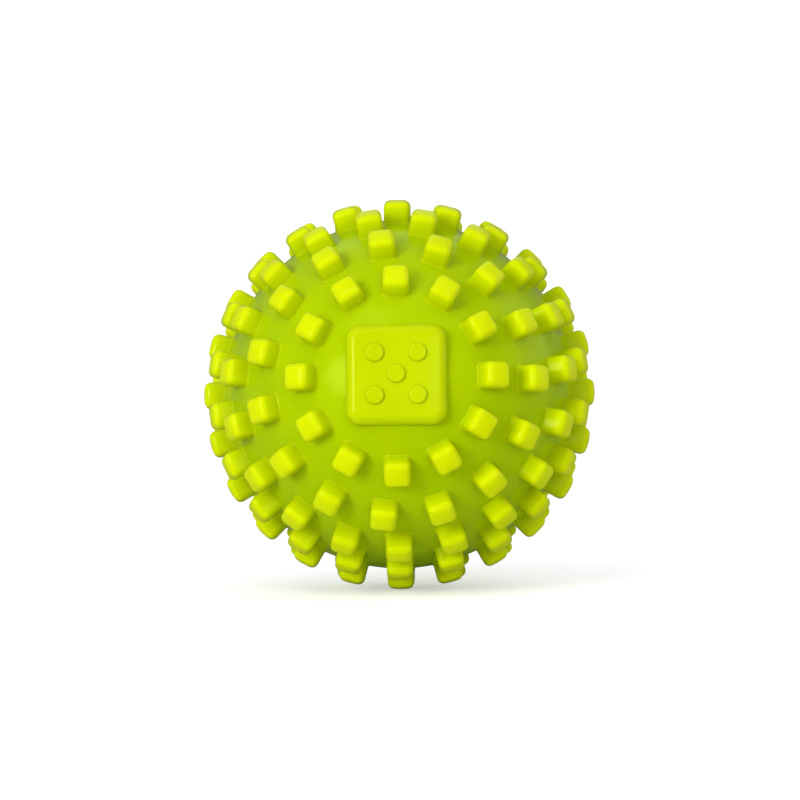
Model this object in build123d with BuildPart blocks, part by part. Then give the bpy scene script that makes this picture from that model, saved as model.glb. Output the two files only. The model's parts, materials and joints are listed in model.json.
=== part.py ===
# Textured massage ball: a solid core inside two moulded half covers, which carry rows of square
# nubs and a raised square tile at each pole. Millimetres, +Z up, origin at the ball's centre.
# The ball lies still on a level surface, with its front tile facing -Y and tipped a little upwards.

from build123d import *
import os
from math import cos, radians, sin

os.makedirs("parts", exist_ok=True)

# Ball
ball_diameter = 50.8  # over the nubs
nub_height = 2.75
cover_thickness = 3.65
rest_tilt = 9.0  # degrees that the front tile looks above the horizontal

ball_radius = ball_diameter / 2
cover_radius = ball_radius - nub_height
core_radius = cover_radius - cover_thickness

# Nubs
nub_width = 3.4
nub_corner_radius = 0.65
nub_edge_radius = 0.55
nub_root_depth = 1.0  # how far below the cover's surface a nub's blank starts, before it is cut

# Rows of nubs, counted from each pole to the parting line between the covers
row_angles = [31.0, 47.1, 62.5, 74.8]  # degrees from the pole
row_counts = [12, 15, 19, 22]
row_first_azimuths = [0.0, 90.0, 180.0, 0.0]  # degrees, clockwise from the top
middle_row_angle = 90.0
middle_row_count = 24

# Raised tiles
tile_width = 12.8
tile_corner_radius = 1.9
tile_edge_radius = 1.25
tile_face_height = 23.4  # from the ball's centre
tile_blank_start = 20.0  # below the cover's surface under the tile's corners

# Dots on the front tile
dot_diameter = 2.4
dot_height = 0.4
dot_edge_radius = 0.3
dot_spacing = 5.4

# Planes through the ball's centre. The first looks out through the front tile.
front_plane = Plane(
    origin=(0, 0, 0),
    x_dir=(1, 0, 0),
    z_dir=(0, -cos(radians(rest_tilt)), sin(radians(rest_tilt))),
)
rear_plane = Plane(
    origin=(0, 0, 0),
    x_dir=(-1, 0, 0),
    z_dir=-front_plane.z_dir,
)


def save(part, name):
    part.label = name
    export_step(part, f"parts/{name}.step")


# Core: the solid ball inside the covers.
with BuildPart(front_plane) as core:
    Sphere(core_radius)

save(core.part, "core")


# Covers: two half shells that meet at the parting line.
with BuildPart(front_plane) as front_cover:
    Sphere(cover_radius)
    Sphere(core_radius, mode=Mode.SUBTRACT)
    split(bisect_by=front_plane, keep=Keep.TOP)

save(front_cover.part, "front_cover")

with BuildPart(rear_plane) as rear_cover:
    Sphere(cover_radius)
    Sphere(core_radius, mode=Mode.SUBTRACT)
    split(bisect_by=rear_plane, keep=Keep.TOP)

save(rear_cover.part, "rear_cover")


# One nub, standing on the cover at the top of its local Z axis.
with BuildPart() as nub:
    with BuildSketch(Plane.XY.offset(cover_radius - nub_root_depth)):
        RectangleRounded(nub_width, nub_width, nub_corner_radius)
    extrude(amount=nub_height + 2 * nub_root_depth)
    Sphere(ball_radius, mode=Mode.INTERSECT)
    fillet(nub.faces().sort_by(Axis.Z)[-1].edges(), nub_edge_radius)
    Sphere(cover_radius, mode=Mode.SUBTRACT)


def nub_plane(pole_angle, azimuth):
    # A plane through the ball's centre whose normal runs out through the nub,
    # with its X axis down the meridian, away from the front pole.
    pole = radians(pole_angle)
    turn = radians(azimuth)
    outwards = (sin(pole) * sin(turn), sin(pole) * cos(turn), cos(pole))
    down = (cos(pole) * sin(turn), cos(pole) * cos(turn), -sin(pole))
    return Plane(origin=(0, 0, 0), x_dir=down, z_dir=outwards)


def nub_row(pole_angle, count, first_azimuth):
    places = []
    for index in range(count):
        places.append(nub_plane(pole_angle, first_azimuth + index * 360 / count))
    with BuildPart(front_plane) as row:
        with Locations(*places):
            add(nub.part)
    return row.part


# Rows of nubs on each cover, and one row that straddles the parting line.
for index in range(len(row_counts)):
    pole_angle = row_angles[index]
    count = row_counts[index]
    first_azimuth = row_first_azimuths[index]
    save(nub_row(pole_angle, count, first_azimuth), f"front_nub_row_{index + 1}")
    save(nub_row(180 - pole_angle, count, first_azimuth), f"rear_nub_row_{index + 1}")

save(nub_row(middle_row_angle, middle_row_count, 0.0), "middle_nub_row")


# A raised tile: a rounded square with a broad soft edge, seated on the cover.
def pole_tile(pole_plane):
    with BuildPart(pole_plane) as tile:
        with BuildSketch(pole_plane.offset(tile_blank_start)):
            RectangleRounded(tile_width, tile_width, tile_corner_radius)
        extrude(amount=tile_face_height - tile_blank_start)
        top_edges = tile.faces().sort_by(Axis(pole_plane.origin, pole_plane.z_dir))[-1].edges()
        fillet(top_edges, tile_edge_radius)
        Sphere(cover_radius, mode=Mode.SUBTRACT)
    return tile.part


save(pole_tile(front_plane), "front_tile")
save(pole_tile(rear_plane), "rear_tile")


# Dots: four at the corners of a square and one in the middle, standing on the front tile's face.
with BuildPart(front_plane) as tile_dots:
    with BuildSketch(front_plane.offset(tile_face_height)):
        with GridLocations(dot_spacing, dot_spacing, 2, 2):
            Circle(dot_diameter / 2)
        Circle(dot_diameter / 2)
    extrude(amount=dot_height)
    dot_faces = tile_dots.faces().sort_by(Axis(front_plane.origin, front_plane.z_dir))
    fillet(dot_faces[-5:].edges(), dot_edge_radius)

save(tile_dots.part, "tile_dots")
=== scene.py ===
import bpy
import bmesh
import json
import math
import random
from mathutils import Matrix, Vector


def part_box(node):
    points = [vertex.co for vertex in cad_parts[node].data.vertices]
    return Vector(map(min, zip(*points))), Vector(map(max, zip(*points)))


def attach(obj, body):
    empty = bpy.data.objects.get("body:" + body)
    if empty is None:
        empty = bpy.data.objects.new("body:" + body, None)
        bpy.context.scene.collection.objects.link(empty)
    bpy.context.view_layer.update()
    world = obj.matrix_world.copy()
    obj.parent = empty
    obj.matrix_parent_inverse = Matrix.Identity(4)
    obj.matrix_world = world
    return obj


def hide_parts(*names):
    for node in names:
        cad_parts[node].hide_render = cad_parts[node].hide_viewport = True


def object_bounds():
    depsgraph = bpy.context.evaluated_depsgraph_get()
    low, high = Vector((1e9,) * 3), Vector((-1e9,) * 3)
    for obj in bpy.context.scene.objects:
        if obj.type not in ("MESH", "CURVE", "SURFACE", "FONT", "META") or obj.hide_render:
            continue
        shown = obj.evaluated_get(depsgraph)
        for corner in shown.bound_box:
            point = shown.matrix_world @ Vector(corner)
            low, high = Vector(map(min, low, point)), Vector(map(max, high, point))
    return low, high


# Textured massage ball, lime thermoplastic rubber, lying on a pale table

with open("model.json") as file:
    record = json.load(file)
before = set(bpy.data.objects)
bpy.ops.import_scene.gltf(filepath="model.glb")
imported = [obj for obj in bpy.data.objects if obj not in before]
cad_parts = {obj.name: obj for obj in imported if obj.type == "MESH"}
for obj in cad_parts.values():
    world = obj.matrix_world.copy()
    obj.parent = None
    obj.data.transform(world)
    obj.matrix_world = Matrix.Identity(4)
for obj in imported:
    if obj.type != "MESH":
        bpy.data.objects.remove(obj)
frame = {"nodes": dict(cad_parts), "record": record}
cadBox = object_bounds()
mm = 0.001
hair = 0.001 * mm  # points closer than this count as being at the same place
level = 0.99  # a face whose normal rises more than this is flat


# where the CAD puts things
def halfWidth(node):
    low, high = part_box(node)
    return (high.x - low.x) / 2


mounts = {m["name"]: m for m in frame["record"]["mounts"]}
ballRadius = halfWidth("middle_nub_row")
coverRadius = halfWidth("front_cover")
coreRadius = halfWidth("core")
tileWidth = 2 * halfWidth("front_tile")
tileFace = Vector(mounts["rear_tile_face"]["pos_m"]).length
pole = -Vector(mounts["rear_tile_face"]["axis"]).normalized()  # out through the front tile
across = Vector((1, 0, 0))
up = pole.cross(across)
poleTurn = Matrix((across, up, pole)).transposed().to_4x4()  # local Z becomes the pole
rearTurn = poleTurn @ Matrix.Rotation(math.pi, 4, "Y")
print("frame loaded, ball radius", round(ballRadius / mm, 2), "mm")


# small modelling helpers
def selectNothing():
    bpy.ops.object.select_all(action="DESELECT")
    bpy.context.view_layer.objects.active = None


def selectOnly(piece):
    selectNothing()
    piece.select_set(True)
    bpy.context.view_layer.objects.active = piece


def startEdit(piece):
    selectOnly(piece)
    bpy.ops.object.mode_set(mode="EDIT")


def endEdit():
    bpy.ops.object.mode_set(mode="OBJECT")


def pickFaces(piece, wanted):
    bpy.ops.mesh.select_mode(type="FACE")
    bpy.ops.mesh.select_all(action="DESELECT")
    mesh = bmesh.from_edit_mesh(piece.data)
    mesh.normal_update()
    for face in mesh.faces:
        face.select_set(wanted(face.calc_center_median(), face.normal))
    bmesh.update_edit_mesh(piece.data)


def pickEdges(piece, wanted):
    bpy.ops.mesh.select_mode(type="EDGE")
    bpy.ops.mesh.select_all(action="DESELECT")
    mesh = bmesh.from_edit_mesh(piece.data)
    for edge in mesh.edges:
        edge.select_set(wanted(edge.verts[0].co, edge.verts[1].co))
    bmesh.update_edit_mesh(piece.data)


def isUpright(a, b):
    return abs(a.x - b.x) + abs(a.y - b.y) < hair


def addBlock(name, width, low, high):
    # a square block between two heights, the start of a nub or a tile
    selectNothing()
    bpy.ops.mesh.primitive_cube_add(size=1, location=(0, 0, 0))
    piece = bpy.context.active_object
    piece.name = name
    startEdit(piece)
    bpy.ops.transform.resize(value=(width, width, high - low))
    bpy.ops.transform.translate(value=(0, 0, (high + low) / 2))
    return piece


def roundBlock(piece, high, corner, cornerSteps, edge, edgeSteps):
    # upright corners first, then the rim of the top
    pickEdges(piece, isUpright)
    bpy.ops.mesh.bevel(offset=corner, offset_type="OFFSET", segments=cornerSteps, affect="EDGES")
    pickEdges(piece, lambda a, b: min(a.z, b.z) > high - hair)
    bpy.ops.mesh.bevel(offset=edge, offset_type="OFFSET", segments=edgeSteps, affect="EDGES")


def fillTop(piece, high, shares):
    # rings of quads on the flat top, each a share of the last, then a fan in the middle
    pickFaces(piece, lambda centre, normal: normal.z > level and centre.z > high - hair)
    for share in shares:
        bpy.ops.mesh.extrude_region_move(TRANSFORM_OT_translate={"value": (0, 0, 0)})
        bpy.ops.transform.resize(value=(share, share, 1))
    bpy.ops.mesh.poke()


def domeTop(piece, low, fall, reach):
    # above the given height, every point sinks with the square of its distance from the middle
    for vertex in piece.data.vertices:
        spot = vertex.co
        if spot.z > low:
            spot.z -= fall * (spot.x**2 + spot.y**2) / reach**2


def bendOntoBall(piece):
    # every height becomes a distance from the ball's centre
    for vertex in piece.data.vertices:
        spot = vertex.co
        spot.z = math.sqrt(spot.z**2 - spot.x**2 - spot.y**2)


def tidyNormals(piece):
    startEdit(piece)
    bpy.ops.mesh.select_all(action="SELECT")
    bpy.ops.mesh.remove_doubles(threshold=hair / 10)
    bpy.ops.mesh.normals_make_consistent(inside=False)
    endEdit()
    bpy.ops.object.shade_smooth()


def copyOf(piece, matrix):
    twin = piece.copy()
    twin.data = piece.data.copy()
    twin.data.transform(matrix)
    bpy.context.scene.collection.objects.link(twin)
    return twin


def joinAs(name, pieces):
    selectNothing()
    for piece in pieces:
        piece.select_set(True)
    bpy.context.view_layer.objects.active = pieces[0]
    bpy.ops.object.join()
    whole = bpy.context.active_object
    whole.name = name
    whole.data.name = name
    return whole


def throwAway(piece):
    bpy.data.meshes.remove(piece.data)


# nubs
nub = {
    "width": 3.4 * mm,
    "corner": 0.74 * mm,
    "cornerSteps": 4,
    "edge": 0.7 * mm,
    "edgeSteps": 5,
    "foot": 0.22 * mm,  # little hollow curve where the nub grows out of the cover
    "footSteps": 3,
    "sink": 0.25 * mm,  # how far the nub reaches into the cover
    "topRings": (0.72, 0.5),
    "dome": 0.12 * mm,  # how far the outer face falls from its middle to its sides
    "twist": 0.7,  # degrees, how far a soft nub may stand off true
    "lean": 0.35,  # degrees
    "short": 0.02 * mm,  # how much lower a nub may stand
    "seed": 11,
}


def makeNub():
    low = coverRadius + nub["foot"]
    piece = addBlock("nubMaster", nub["width"], low, ballRadius)
    roundBlock(piece, ballRadius, nub["corner"], nub["cornerSteps"], nub["edge"], nub["edgeSteps"])
    fillTop(piece, ballRadius, nub["topRings"])
    pickFaces(piece, lambda centre, normal: normal.z < -level)
    halfSide = nub["width"] / 2
    height = nub["foot"]
    for step in range(1, nub["footSteps"] + 1):
        turn = math.pi / 2 * step / nub["footSteps"]
        newHeight = nub["foot"] * (1 - math.sin(turn))
        newHalf = nub["width"] / 2 + nub["foot"] * (1 - math.cos(turn))
        bpy.ops.mesh.extrude_region_move(TRANSFORM_OT_translate={"value": (0, 0, newHeight - height)})
        grow = newHalf / halfSide
        bpy.ops.transform.resize(value=(grow, grow, 1))
        halfSide = newHalf
        height = newHeight
    bpy.ops.mesh.extrude_region_move(TRANSFORM_OT_translate={"value": (0, 0, -nub["sink"])})
    endEdit()
    domeTop(piece, ballRadius - nub["edge"] - hair, nub["dome"], nub["width"] / 2)
    bendOntoBall(piece)
    tidyNormals(piece)
    return piece


# rows from the front pole to the parting line: degrees from the pole, how many nubs,
# and where the first one stands, in degrees clockwise from the top
rows = [
    {"angle": 31.0, "count": 12, "first": 0},
    {"angle": 47.1, "count": 15, "first": 90},
    {"angle": 62.5, "count": 19, "first": 180},
    {"angle": 74.8, "count": 22, "first": 0},
]
middleRow = {"angle": 90, "count": 24, "first": 0}


def makeRow(name, master, poleAngle, row, dice):
    copies = []
    for index in range(row["count"]):
        azimuth = row["first"] + index * 360 / row["count"]
        loose = Matrix.Rotation(math.radians(dice.uniform(-nub["twist"], nub["twist"])), 4, "Z")
        loose = Matrix.Rotation(math.radians(dice.uniform(-nub["lean"], nub["lean"])), 4, "X") @ loose
        loose = Matrix.Translation((0, 0, -dice.uniform(0, nub["short"]))) @ loose
        tip = Matrix.Rotation(-math.radians(poleAngle), 4, "X")  # from the pole towards the top
        turn = Matrix.Rotation(-math.radians(azimuth), 4, "Z")  # then clockwise round it
        copies.append(copyOf(master, poleTurn @ turn @ tip @ loose))
    return joinAs(name, copies)


nubMaster = makeNub()
dice = random.Random(nub["seed"])
nubPieces = []
for index, row in enumerate(rows):
    for side, angle in (("front", row["angle"]), ("rear", 180 - row["angle"])):
        piece = makeRow(f"{side}NubRow{index + 1}", nubMaster, angle, row, dice)
        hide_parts(f"{side}_nub_row_{index + 1}")
        nubPieces.append(piece)
piece = makeRow("middleNubRow", nubMaster, middleRow["angle"], middleRow, dice)
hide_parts("middle_nub_row")
nubPieces.append(piece)
throwAway(nubMaster)
print("nub rows made:", len(nubPieces))


# covers
cover = {
    "segments": 160,
    "rings": 80,
    "lipWidth": 0.1 * mm,  # each half's share of the fine line that the mould leaves
    "lipHeight": 0.035 * mm,
    "crease": 40,  # degrees, bends sharper than this stay crisp
}


def makeCover(name, turn):
    selectNothing()
    bpy.ops.mesh.primitive_uv_sphere_add(
        segments=cover["segments"], ring_count=cover["rings"], radius=coverRadius
    )
    piece = bpy.context.active_object
    piece.name = name
    startEdit(piece)
    bpy.ops.mesh.select_all(action="SELECT")
    bpy.ops.mesh.bisect(
        plane_co=(0, 0, 2 * cover["lipWidth"]), plane_no=(0, 0, 1), clear_inner=True, use_fill=False
    )
    lipTop = 2 * cover["lipWidth"] + hair
    pickEdges(piece, lambda a, b: a.z < lipTop and b.z < lipTop)
    grow = 1 + cover["lipHeight"] / coverRadius
    bpy.ops.mesh.extrude_region_move(TRANSFORM_OT_translate={"value": (0, 0, -cover["lipWidth"])})
    bpy.ops.transform.resize(value=(grow, grow, 1))
    bpy.ops.mesh.extrude_region_move(TRANSFORM_OT_translate={"value": (0, 0, -cover["lipWidth"])})
    bpy.ops.mesh.select_all(action="SELECT")
    bpy.ops.mesh.normals_make_consistent(inside=False)
    endEdit()
    wall = piece.modifiers.new("wall", "SOLIDIFY")
    wall.thickness = coverRadius - coreRadius
    wall.offset = -1
    bpy.ops.object.modifier_apply(modifier="wall")
    bpy.ops.object.shade_smooth_by_angle(angle=math.radians(cover["crease"]))
    piece.data.transform(turn)
    return piece


frontCover = makeCover("frontCover", poleTurn)
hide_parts("front_cover")
rearCover = makeCover("rearCover", rearTurn)
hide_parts("rear_cover")
print("covers made")


# raised tiles at the poles
tile = {
    "corner": 1.9 * mm,
    "cornerSteps": 12,
    "edge": 1.3 * mm,
    "edgeSteps": 9,
    "topRings": (0.8, 0.7, 0.55),
    "dome": 0.1 * mm,  # how far the face falls from its middle to its rim
    "blankLow": 20.2 * mm,  # where the tile starts inside the cover, from the ball's centre
}


def makeTile(name, turn, dome):
    piece = addBlock(name, tileWidth, tile["blankLow"], tileFace)
    roundBlock(piece, tileFace, tile["corner"], tile["cornerSteps"], tile["edge"], tile["edgeSteps"])
    fillTop(piece, tileFace, tile["topRings"])
    endEdit()
    domeTop(piece, tileFace - tile["edge"] - hair, dome, tileWidth / 2)
    tidyNormals(piece)
    piece.data.transform(turn)
    return piece


frontTile = makeTile("frontTile", poleTurn, tile["dome"])
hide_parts("front_tile")
rearTile = makeTile("rearTile", rearTurn, 0)
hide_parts("rear_tile")


dots = {
    "width": 2.4 * mm,
    "height": 0.4 * mm,
    "edge": 0.3 * mm,
    "edgeSteps": 4,
    "spacing": 5.4 * mm,
    "vertices": 32,
    "topRings": (0.6,),
}


def makeDots():
    selectNothing()
    high = tileFace + dots["height"]
    low = tileFace - dots["height"]
    bpy.ops.mesh.primitive_cylinder_add(
        vertices=dots["vertices"], radius=dots["width"] / 2, depth=high - low, location=(0, 0, 0)
    )
    master = bpy.context.active_object
    startEdit(master)
    bpy.ops.transform.translate(value=(0, 0, (high + low) / 2))
    pickEdges(master, lambda a, b: min(a.z, b.z) > high - hair)
    bpy.ops.mesh.bevel(offset=dots["edge"], segments=dots["edgeSteps"], affect="EDGES")
    fillTop(master, high, dots["topRings"])
    endEdit()
    tidyNormals(master)
    half = dots["spacing"] / 2
    spots = [(0, 0), (-half, -half), (half, -half), (-half, half), (half, half)]
    reach = tileWidth / 2
    copies = []
    for x, y in spots:
        sag = tile["dome"] * (x**2 + y**2) / reach**2
        copies.append(copyOf(master, poleTurn @ Matrix.Translation((x, y, -sag))))
    throwAway(master)
    return joinAs("tileDots", copies)


tileDots = makeDots()
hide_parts("tile_dots")
print("tiles and dots made")


# materials
def hexColour(text):
    # sRGB hex to the linear numbers that a shader takes
    values = []
    for start in (0, 2, 4):
        value = int(text[start:start + 2], 16) / 255
        values.append(value / 12.92 if value <= 0.04045 else ((value + 0.055) / 1.055) ** 2.4)
    return (*values, 1)


def addNode(tree, kind, inputs, **settings):
    node = tree.nodes.new(kind)
    for key, value in settings.items():
        setattr(node, key, value)
    for socket, value in inputs.items():
        if isinstance(value, bpy.types.NodeSocket):
            tree.links.new(value, node.inputs[socket])
        else:
            node.inputs[socket].default_value = value
    return node


noiseLow = 0.3  # most of a noise's values lie between these two
noiseHigh = 0.7


def mouldedRubber(name, look):
    # thermoplastic rubber from a polished or satin mould
    material = bpy.data.materials.new(name)
    material.use_nodes = True
    tree = material.node_tree
    tree.nodes.clear()
    place = addNode(tree, "ShaderNodeTexCoord", {})
    spot = place.outputs["Object"]
    cloud = addNode(
        tree, "ShaderNodeTexNoise", {"Vector": spot, "Scale": 1 / look["cloudSize"], "Detail": 2}
    )
    grain = addNode(
        tree, "ShaderNodeTexNoise", {"Vector": spot, "Scale": 1 / look["grainSize"], "Detail": 3}
    )
    peel = addNode(
        tree, "ShaderNodeTexNoise", {"Vector": spot, "Scale": 1 / look["peelSize"], "Detail": 1}
    )
    height = addNode(tree, "ShaderNodeVectorMath", {0: spot}, operation="LENGTH")
    rise = addNode(
        tree, "ShaderNodeMapRange",
        {"Value": height.outputs["Value"], "From Min": coverRadius, "From Max": ballRadius},
        interpolation_type="SMOOTHSTEP",
    )
    # painted shade and light by height: the darker foot colour where a nub meets the cover, the lighter
    # top colour on its face
    footShadeTopLight = addNode(
        tree, "ShaderNodeMix",
        {"Factor": rise.outputs["Result"], "A": hexColour(look["foot"]), "B": hexColour(look["top"])},
        data_type="RGBA",
    )
    shade = addNode(
        tree, "ShaderNodeMapRange",
        {"Value": cloud.outputs["Fac"], "From Min": noiseLow, "From Max": noiseHigh,
         "To Min": 1 - look["cloud"], "To Max": 1 + look["cloud"]},
    )
    colour = addNode(
        tree, "ShaderNodeVectorMath",
        {0: footShadeTopLight.outputs["Result"], "Scale": shade.outputs["Result"]},
        operation="SCALE",
    )
    gloss = addNode(
        tree, "ShaderNodeMapRange",
        {"Value": cloud.outputs["Fac"], "From Min": noiseLow, "From Max": noiseHigh,
         "To Min": look["roughness"] - look["spread"], "To Max": look["roughness"] + look["spread"]},
    )
    coarse = addNode(
        tree, "ShaderNodeBump",
        {"Height": peel.outputs["Fac"], "Strength": look["peel"], "Distance": look["peelDepth"]},
    )
    fine = addNode(
        tree, "ShaderNodeBump",
        {"Height": grain.outputs["Fac"], "Strength": look["grain"], "Distance": look["grainDepth"],
         "Normal": coarse.outputs["Normal"]},
    )
    shader = addNode(
        tree, "ShaderNodeBsdfPrincipled",
        {"Base Color": colour.outputs["Vector"], "Normal": fine.outputs["Normal"],
         "Roughness": gloss.outputs["Result"], "IOR": look["ior"],
         "Specular IOR Level": look["shine"], "Specular Tint": hexColour(look["shineTint"]),
         "Coat Weight": look["film"], "Coat Roughness": look["filmRoughness"],
         "Subsurface Weight": look["glow"], "Subsurface Radius": look["glowReach"],
         "Subsurface Scale": look["glowDepth"]},
    )
    addNode(tree, "ShaderNodeOutputMaterial", {"Surface": shader.outputs["BSDF"]})
    return material


coverLook = {
    # deep lime with a clear, smooth gloss, as from a polished mould; the lime is darker than the nubs'
    # as painted shade, though cover and nubs are one rubber
    "foot": "a3be00", "top": "a3be00", "cloud": 0.03, "cloudSize": 9 * mm,
    "roughness": 0.24, "spread": 0.03, "ior": 1.5, "shine": 0.18, "shineTint": "ecff20",
    "film": 0.02, "filmRoughness": 0.12,  # trace of mould release that keeps small lights sharp
    "grain": 0.12, "grainSize": 0.12 * mm, "grainDepth": 0.01 * mm,
    "peel": 0.2, "peelSize": 1.6 * mm, "peelDepth": 0.02 * mm,
    "glow": 0.15, "glowDepth": 0.6 * mm, "glowReach": (1.0, 1.0, 0.25),
}
nubLook = {
    # brighter yellow-green than the cover, as painted light on one and the same rubber, and deeper at
    # the foot as painted shade where the nubs meet the cover; with a softer gloss and more grain
    # real grain is finer: here and on the cover it is drawn as coarse as it needs to show
    "foot": "aec200", "top": "cad900", "cloud": 0.03, "cloudSize": 6 * mm,
    "roughness": 0.3, "spread": 0.04, "ior": 1.5, "shine": 0.15, "shineTint": "ecff20",
    "film": 0.08, "filmRoughness": 0.12,
    "grain": 0.2, "grainSize": 0.12 * mm, "grainDepth": 0.01 * mm,
    "peel": 0.25, "peelSize": 1.1 * mm, "peelDepth": 0.02 * mm,
    "glow": 0.15, "glowDepth": 0.6 * mm, "glowReach": (1.0, 1.0, 0.25),
}
# one even lime between cover and nubs, painted half way between the cover's painted shade and the nubs'
# painted light, a little glossier than the nubs
tileLook = dict(nubLook, foot="b7c900", top="b7c900", roughness=0.28)
# dull mid grey, for the hidden core
coreLook = dict(coverLook, foot="686a67", top="686a67", shineTint="ffffff", roughness=0.55, glow=0.0)

# one rubber in lit and shaded copies: the cover's darker lime is painted shade, the nubs' lighter lime
# painted light, the tile between
materials = {
    "cover": mouldedRubber("glossyLimeRubberPaintedShade", coverLook),
    "nubs": mouldedRubber("satinLimeRubberPaintedLightAndShade", nubLook),
    "tile": mouldedRubber("softGlossLimeRubberPaintedHalfLight", tileLook),
    "core": mouldedRubber("dullGreyRubber", coreLook),
}


def finishPiece(piece, slot):
    piece.data.materials.clear()
    piece.data.materials.append(materials[slot])
    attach(piece, "root")


for piece in nubPieces:
    finishPiece(piece, "nubs")
for piece in (frontCover, rearCover):
    finishPiece(piece, "cover")
for piece in (frontTile, rearTile, tileDots):
    finishPiece(piece, "tile")
core = frame["nodes"]["core"]
core.data.materials.clear()
core.data.materials.append(materials["core"])
print("materials given")


# table, light and camera
tableLook = {
    "radius": 6.0,
    "vertices": 96,
    "colour": "ececf2",
    "inGloss": "6a6a6a",
    "lift": 0.46,
    "roughness": 0.6,
}


def makeTable():
    selectNothing()
    bpy.ops.mesh.primitive_circle_add(
        vertices=tableLook["vertices"], radius=tableLook["radius"], fill_type="NGON",
        location=(0, 0, cadBox[0].z),
    )
    table = bpy.context.active_object
    table.name = "table"
    material = bpy.data.materials.new("paleTable")
    material.use_nodes = True
    tree = material.node_tree
    shader = tree.nodes["Principled BSDF"]
    shader.inputs["Roughness"].default_value = tableLook["roughness"]
    # even pale white: the eye sees it over-exposed, so only the deepest part of the shadow shows,
    # and gloss sees it dim
    ray = addNode(tree, "ShaderNodeLightPath", {})
    dim = addNode(
        tree, "ShaderNodeMix",
        {"Factor": ray.outputs["Is Glossy Ray"], "A": hexColour(tableLook["colour"]),
         "B": hexColour(tableLook["inGloss"])},
        data_type="RGBA",
    )
    tree.links.new(dim.outputs["Result"], shader.inputs["Base Color"])
    lift = addNode(
        tree, "ShaderNodeMapRange",
        {"Value": ray.outputs["Is Camera Ray"], "To Min": 0, "To Max": tableLook["lift"]},
    )
    tree.links.new(lift.outputs["Result"], shader.inputs["Emission Strength"])
    shader.inputs["Emission Color"].default_value = (1, 1, 1, 1)
    table.data.materials.append(material)


makeTable()

# the walls stay dim in gloss, which keeps the rubber's colour clear near its outline
room = {"forEye": 1.05, "forObject": 0.43, "inGloss": 0.2}

# big soft boxes, and two slim ones that draw fine streaks along the nubs' edges
# turn is degrees round from straight in front, to the right, and rise is degrees above level
softBoxes = [
    {"turn": -36, "rise": 14, "strength": 1.55, "across": 24},
    {"turn": -25, "rise": 48, "strength": 0.55, "across": 26},
    {"turn": 18, "rise": 14, "strength": 0.42, "across": 30},
    {"turn": 35, "rise": 62, "strength": 0.35, "across": 45},
    {"turn": 105, "rise": 20, "strength": 0.3, "across": 45},
    {"turn": 180, "rise": 45, "strength": 0.2, "across": 45},
    {"turn": -28, "rise": 15, "strength": 0.12, "across": 4},
    {"turn": 28, "rise": 15, "strength": 0.12, "across": 4},
]


def towards(turn, rise):
    turn = math.radians(turn)
    rise = math.radians(rise)
    return Vector((math.sin(turn) * math.cos(rise), -math.cos(turn) * math.cos(rise), math.sin(rise)))


def makeLights():
    for index, box in enumerate(softBoxes):
        data = bpy.data.lights.new(f"softBox{index}", "SUN")
        data.energy = box["strength"]
        data.angle = math.radians(box["across"])
        lamp = bpy.data.objects.new(data.name, data)
        lamp.rotation_euler = towards(box["turn"], box["rise"]).to_track_quat("Z", "Y").to_euler()
        bpy.context.scene.collection.objects.link(lamp)
    world = bpy.data.worlds.new("room")
    bpy.context.scene.world = world
    world.use_nodes = True
    tree = world.node_tree
    tree.nodes.clear()
    ray = addNode(tree, "ShaderNodeLightPath", {})
    inGloss = addNode(
        tree, "ShaderNodeMapRange",
        {"Value": ray.outputs["Is Glossy Ray"], "To Min": room["forObject"], "To Max": room["inGloss"]},
    )
    strength = addNode(
        tree, "ShaderNodeMapRange",
        {"Value": ray.outputs["Is Camera Ray"], "To Min": inGloss.outputs["Result"],
         "To Max": room["forEye"]},
    )
    back = addNode(
        tree, "ShaderNodeBackground", {"Color": (1, 1, 1, 1), "Strength": strength.outputs["Result"]}
    )
    addNode(tree, "ShaderNodeOutputWorld", {"Surface": back.outputs["Background"]})


makeLights()

shot = {
    "lens": 263.8,
    "sensor": 36,
    "near": 0.01,
    "far": 50,
    "distance": 30 * ballRadius,
    "azimuth": 0.9,  # degrees round from straight in front, to the right
    "elevation": 2.65,  # degrees
    "aimBelow": 0.77 * mm,
    "aimRight": 0.08 * mm,
    "roll": 0.65,  # degrees
}


def makeCamera():
    data = bpy.data.cameras.new("camera")
    data.lens = shot["lens"]
    data.sensor_width = shot["sensor"]
    data.clip_start = shot["near"]
    data.clip_end = shot["far"]
    camera = bpy.data.objects.new("camera", data)
    bpy.context.scene.collection.objects.link(camera)
    back = towards(shot["azimuth"], shot["elevation"])
    aim = Vector((shot["aimRight"], 0, -shot["aimBelow"]))
    camera.location = aim + back * shot["distance"]
    look = (-back).to_track_quat("-Z", "Y").to_matrix().to_4x4()
    camera.rotation_euler = (look @ Matrix.Rotation(-math.radians(shot["roll"]), 4, "Z")).to_euler()
    bpy.context.scene.camera = camera


makeCamera()
bpy.context.scene.view_settings.view_transform = "Standard"
print("stage set")
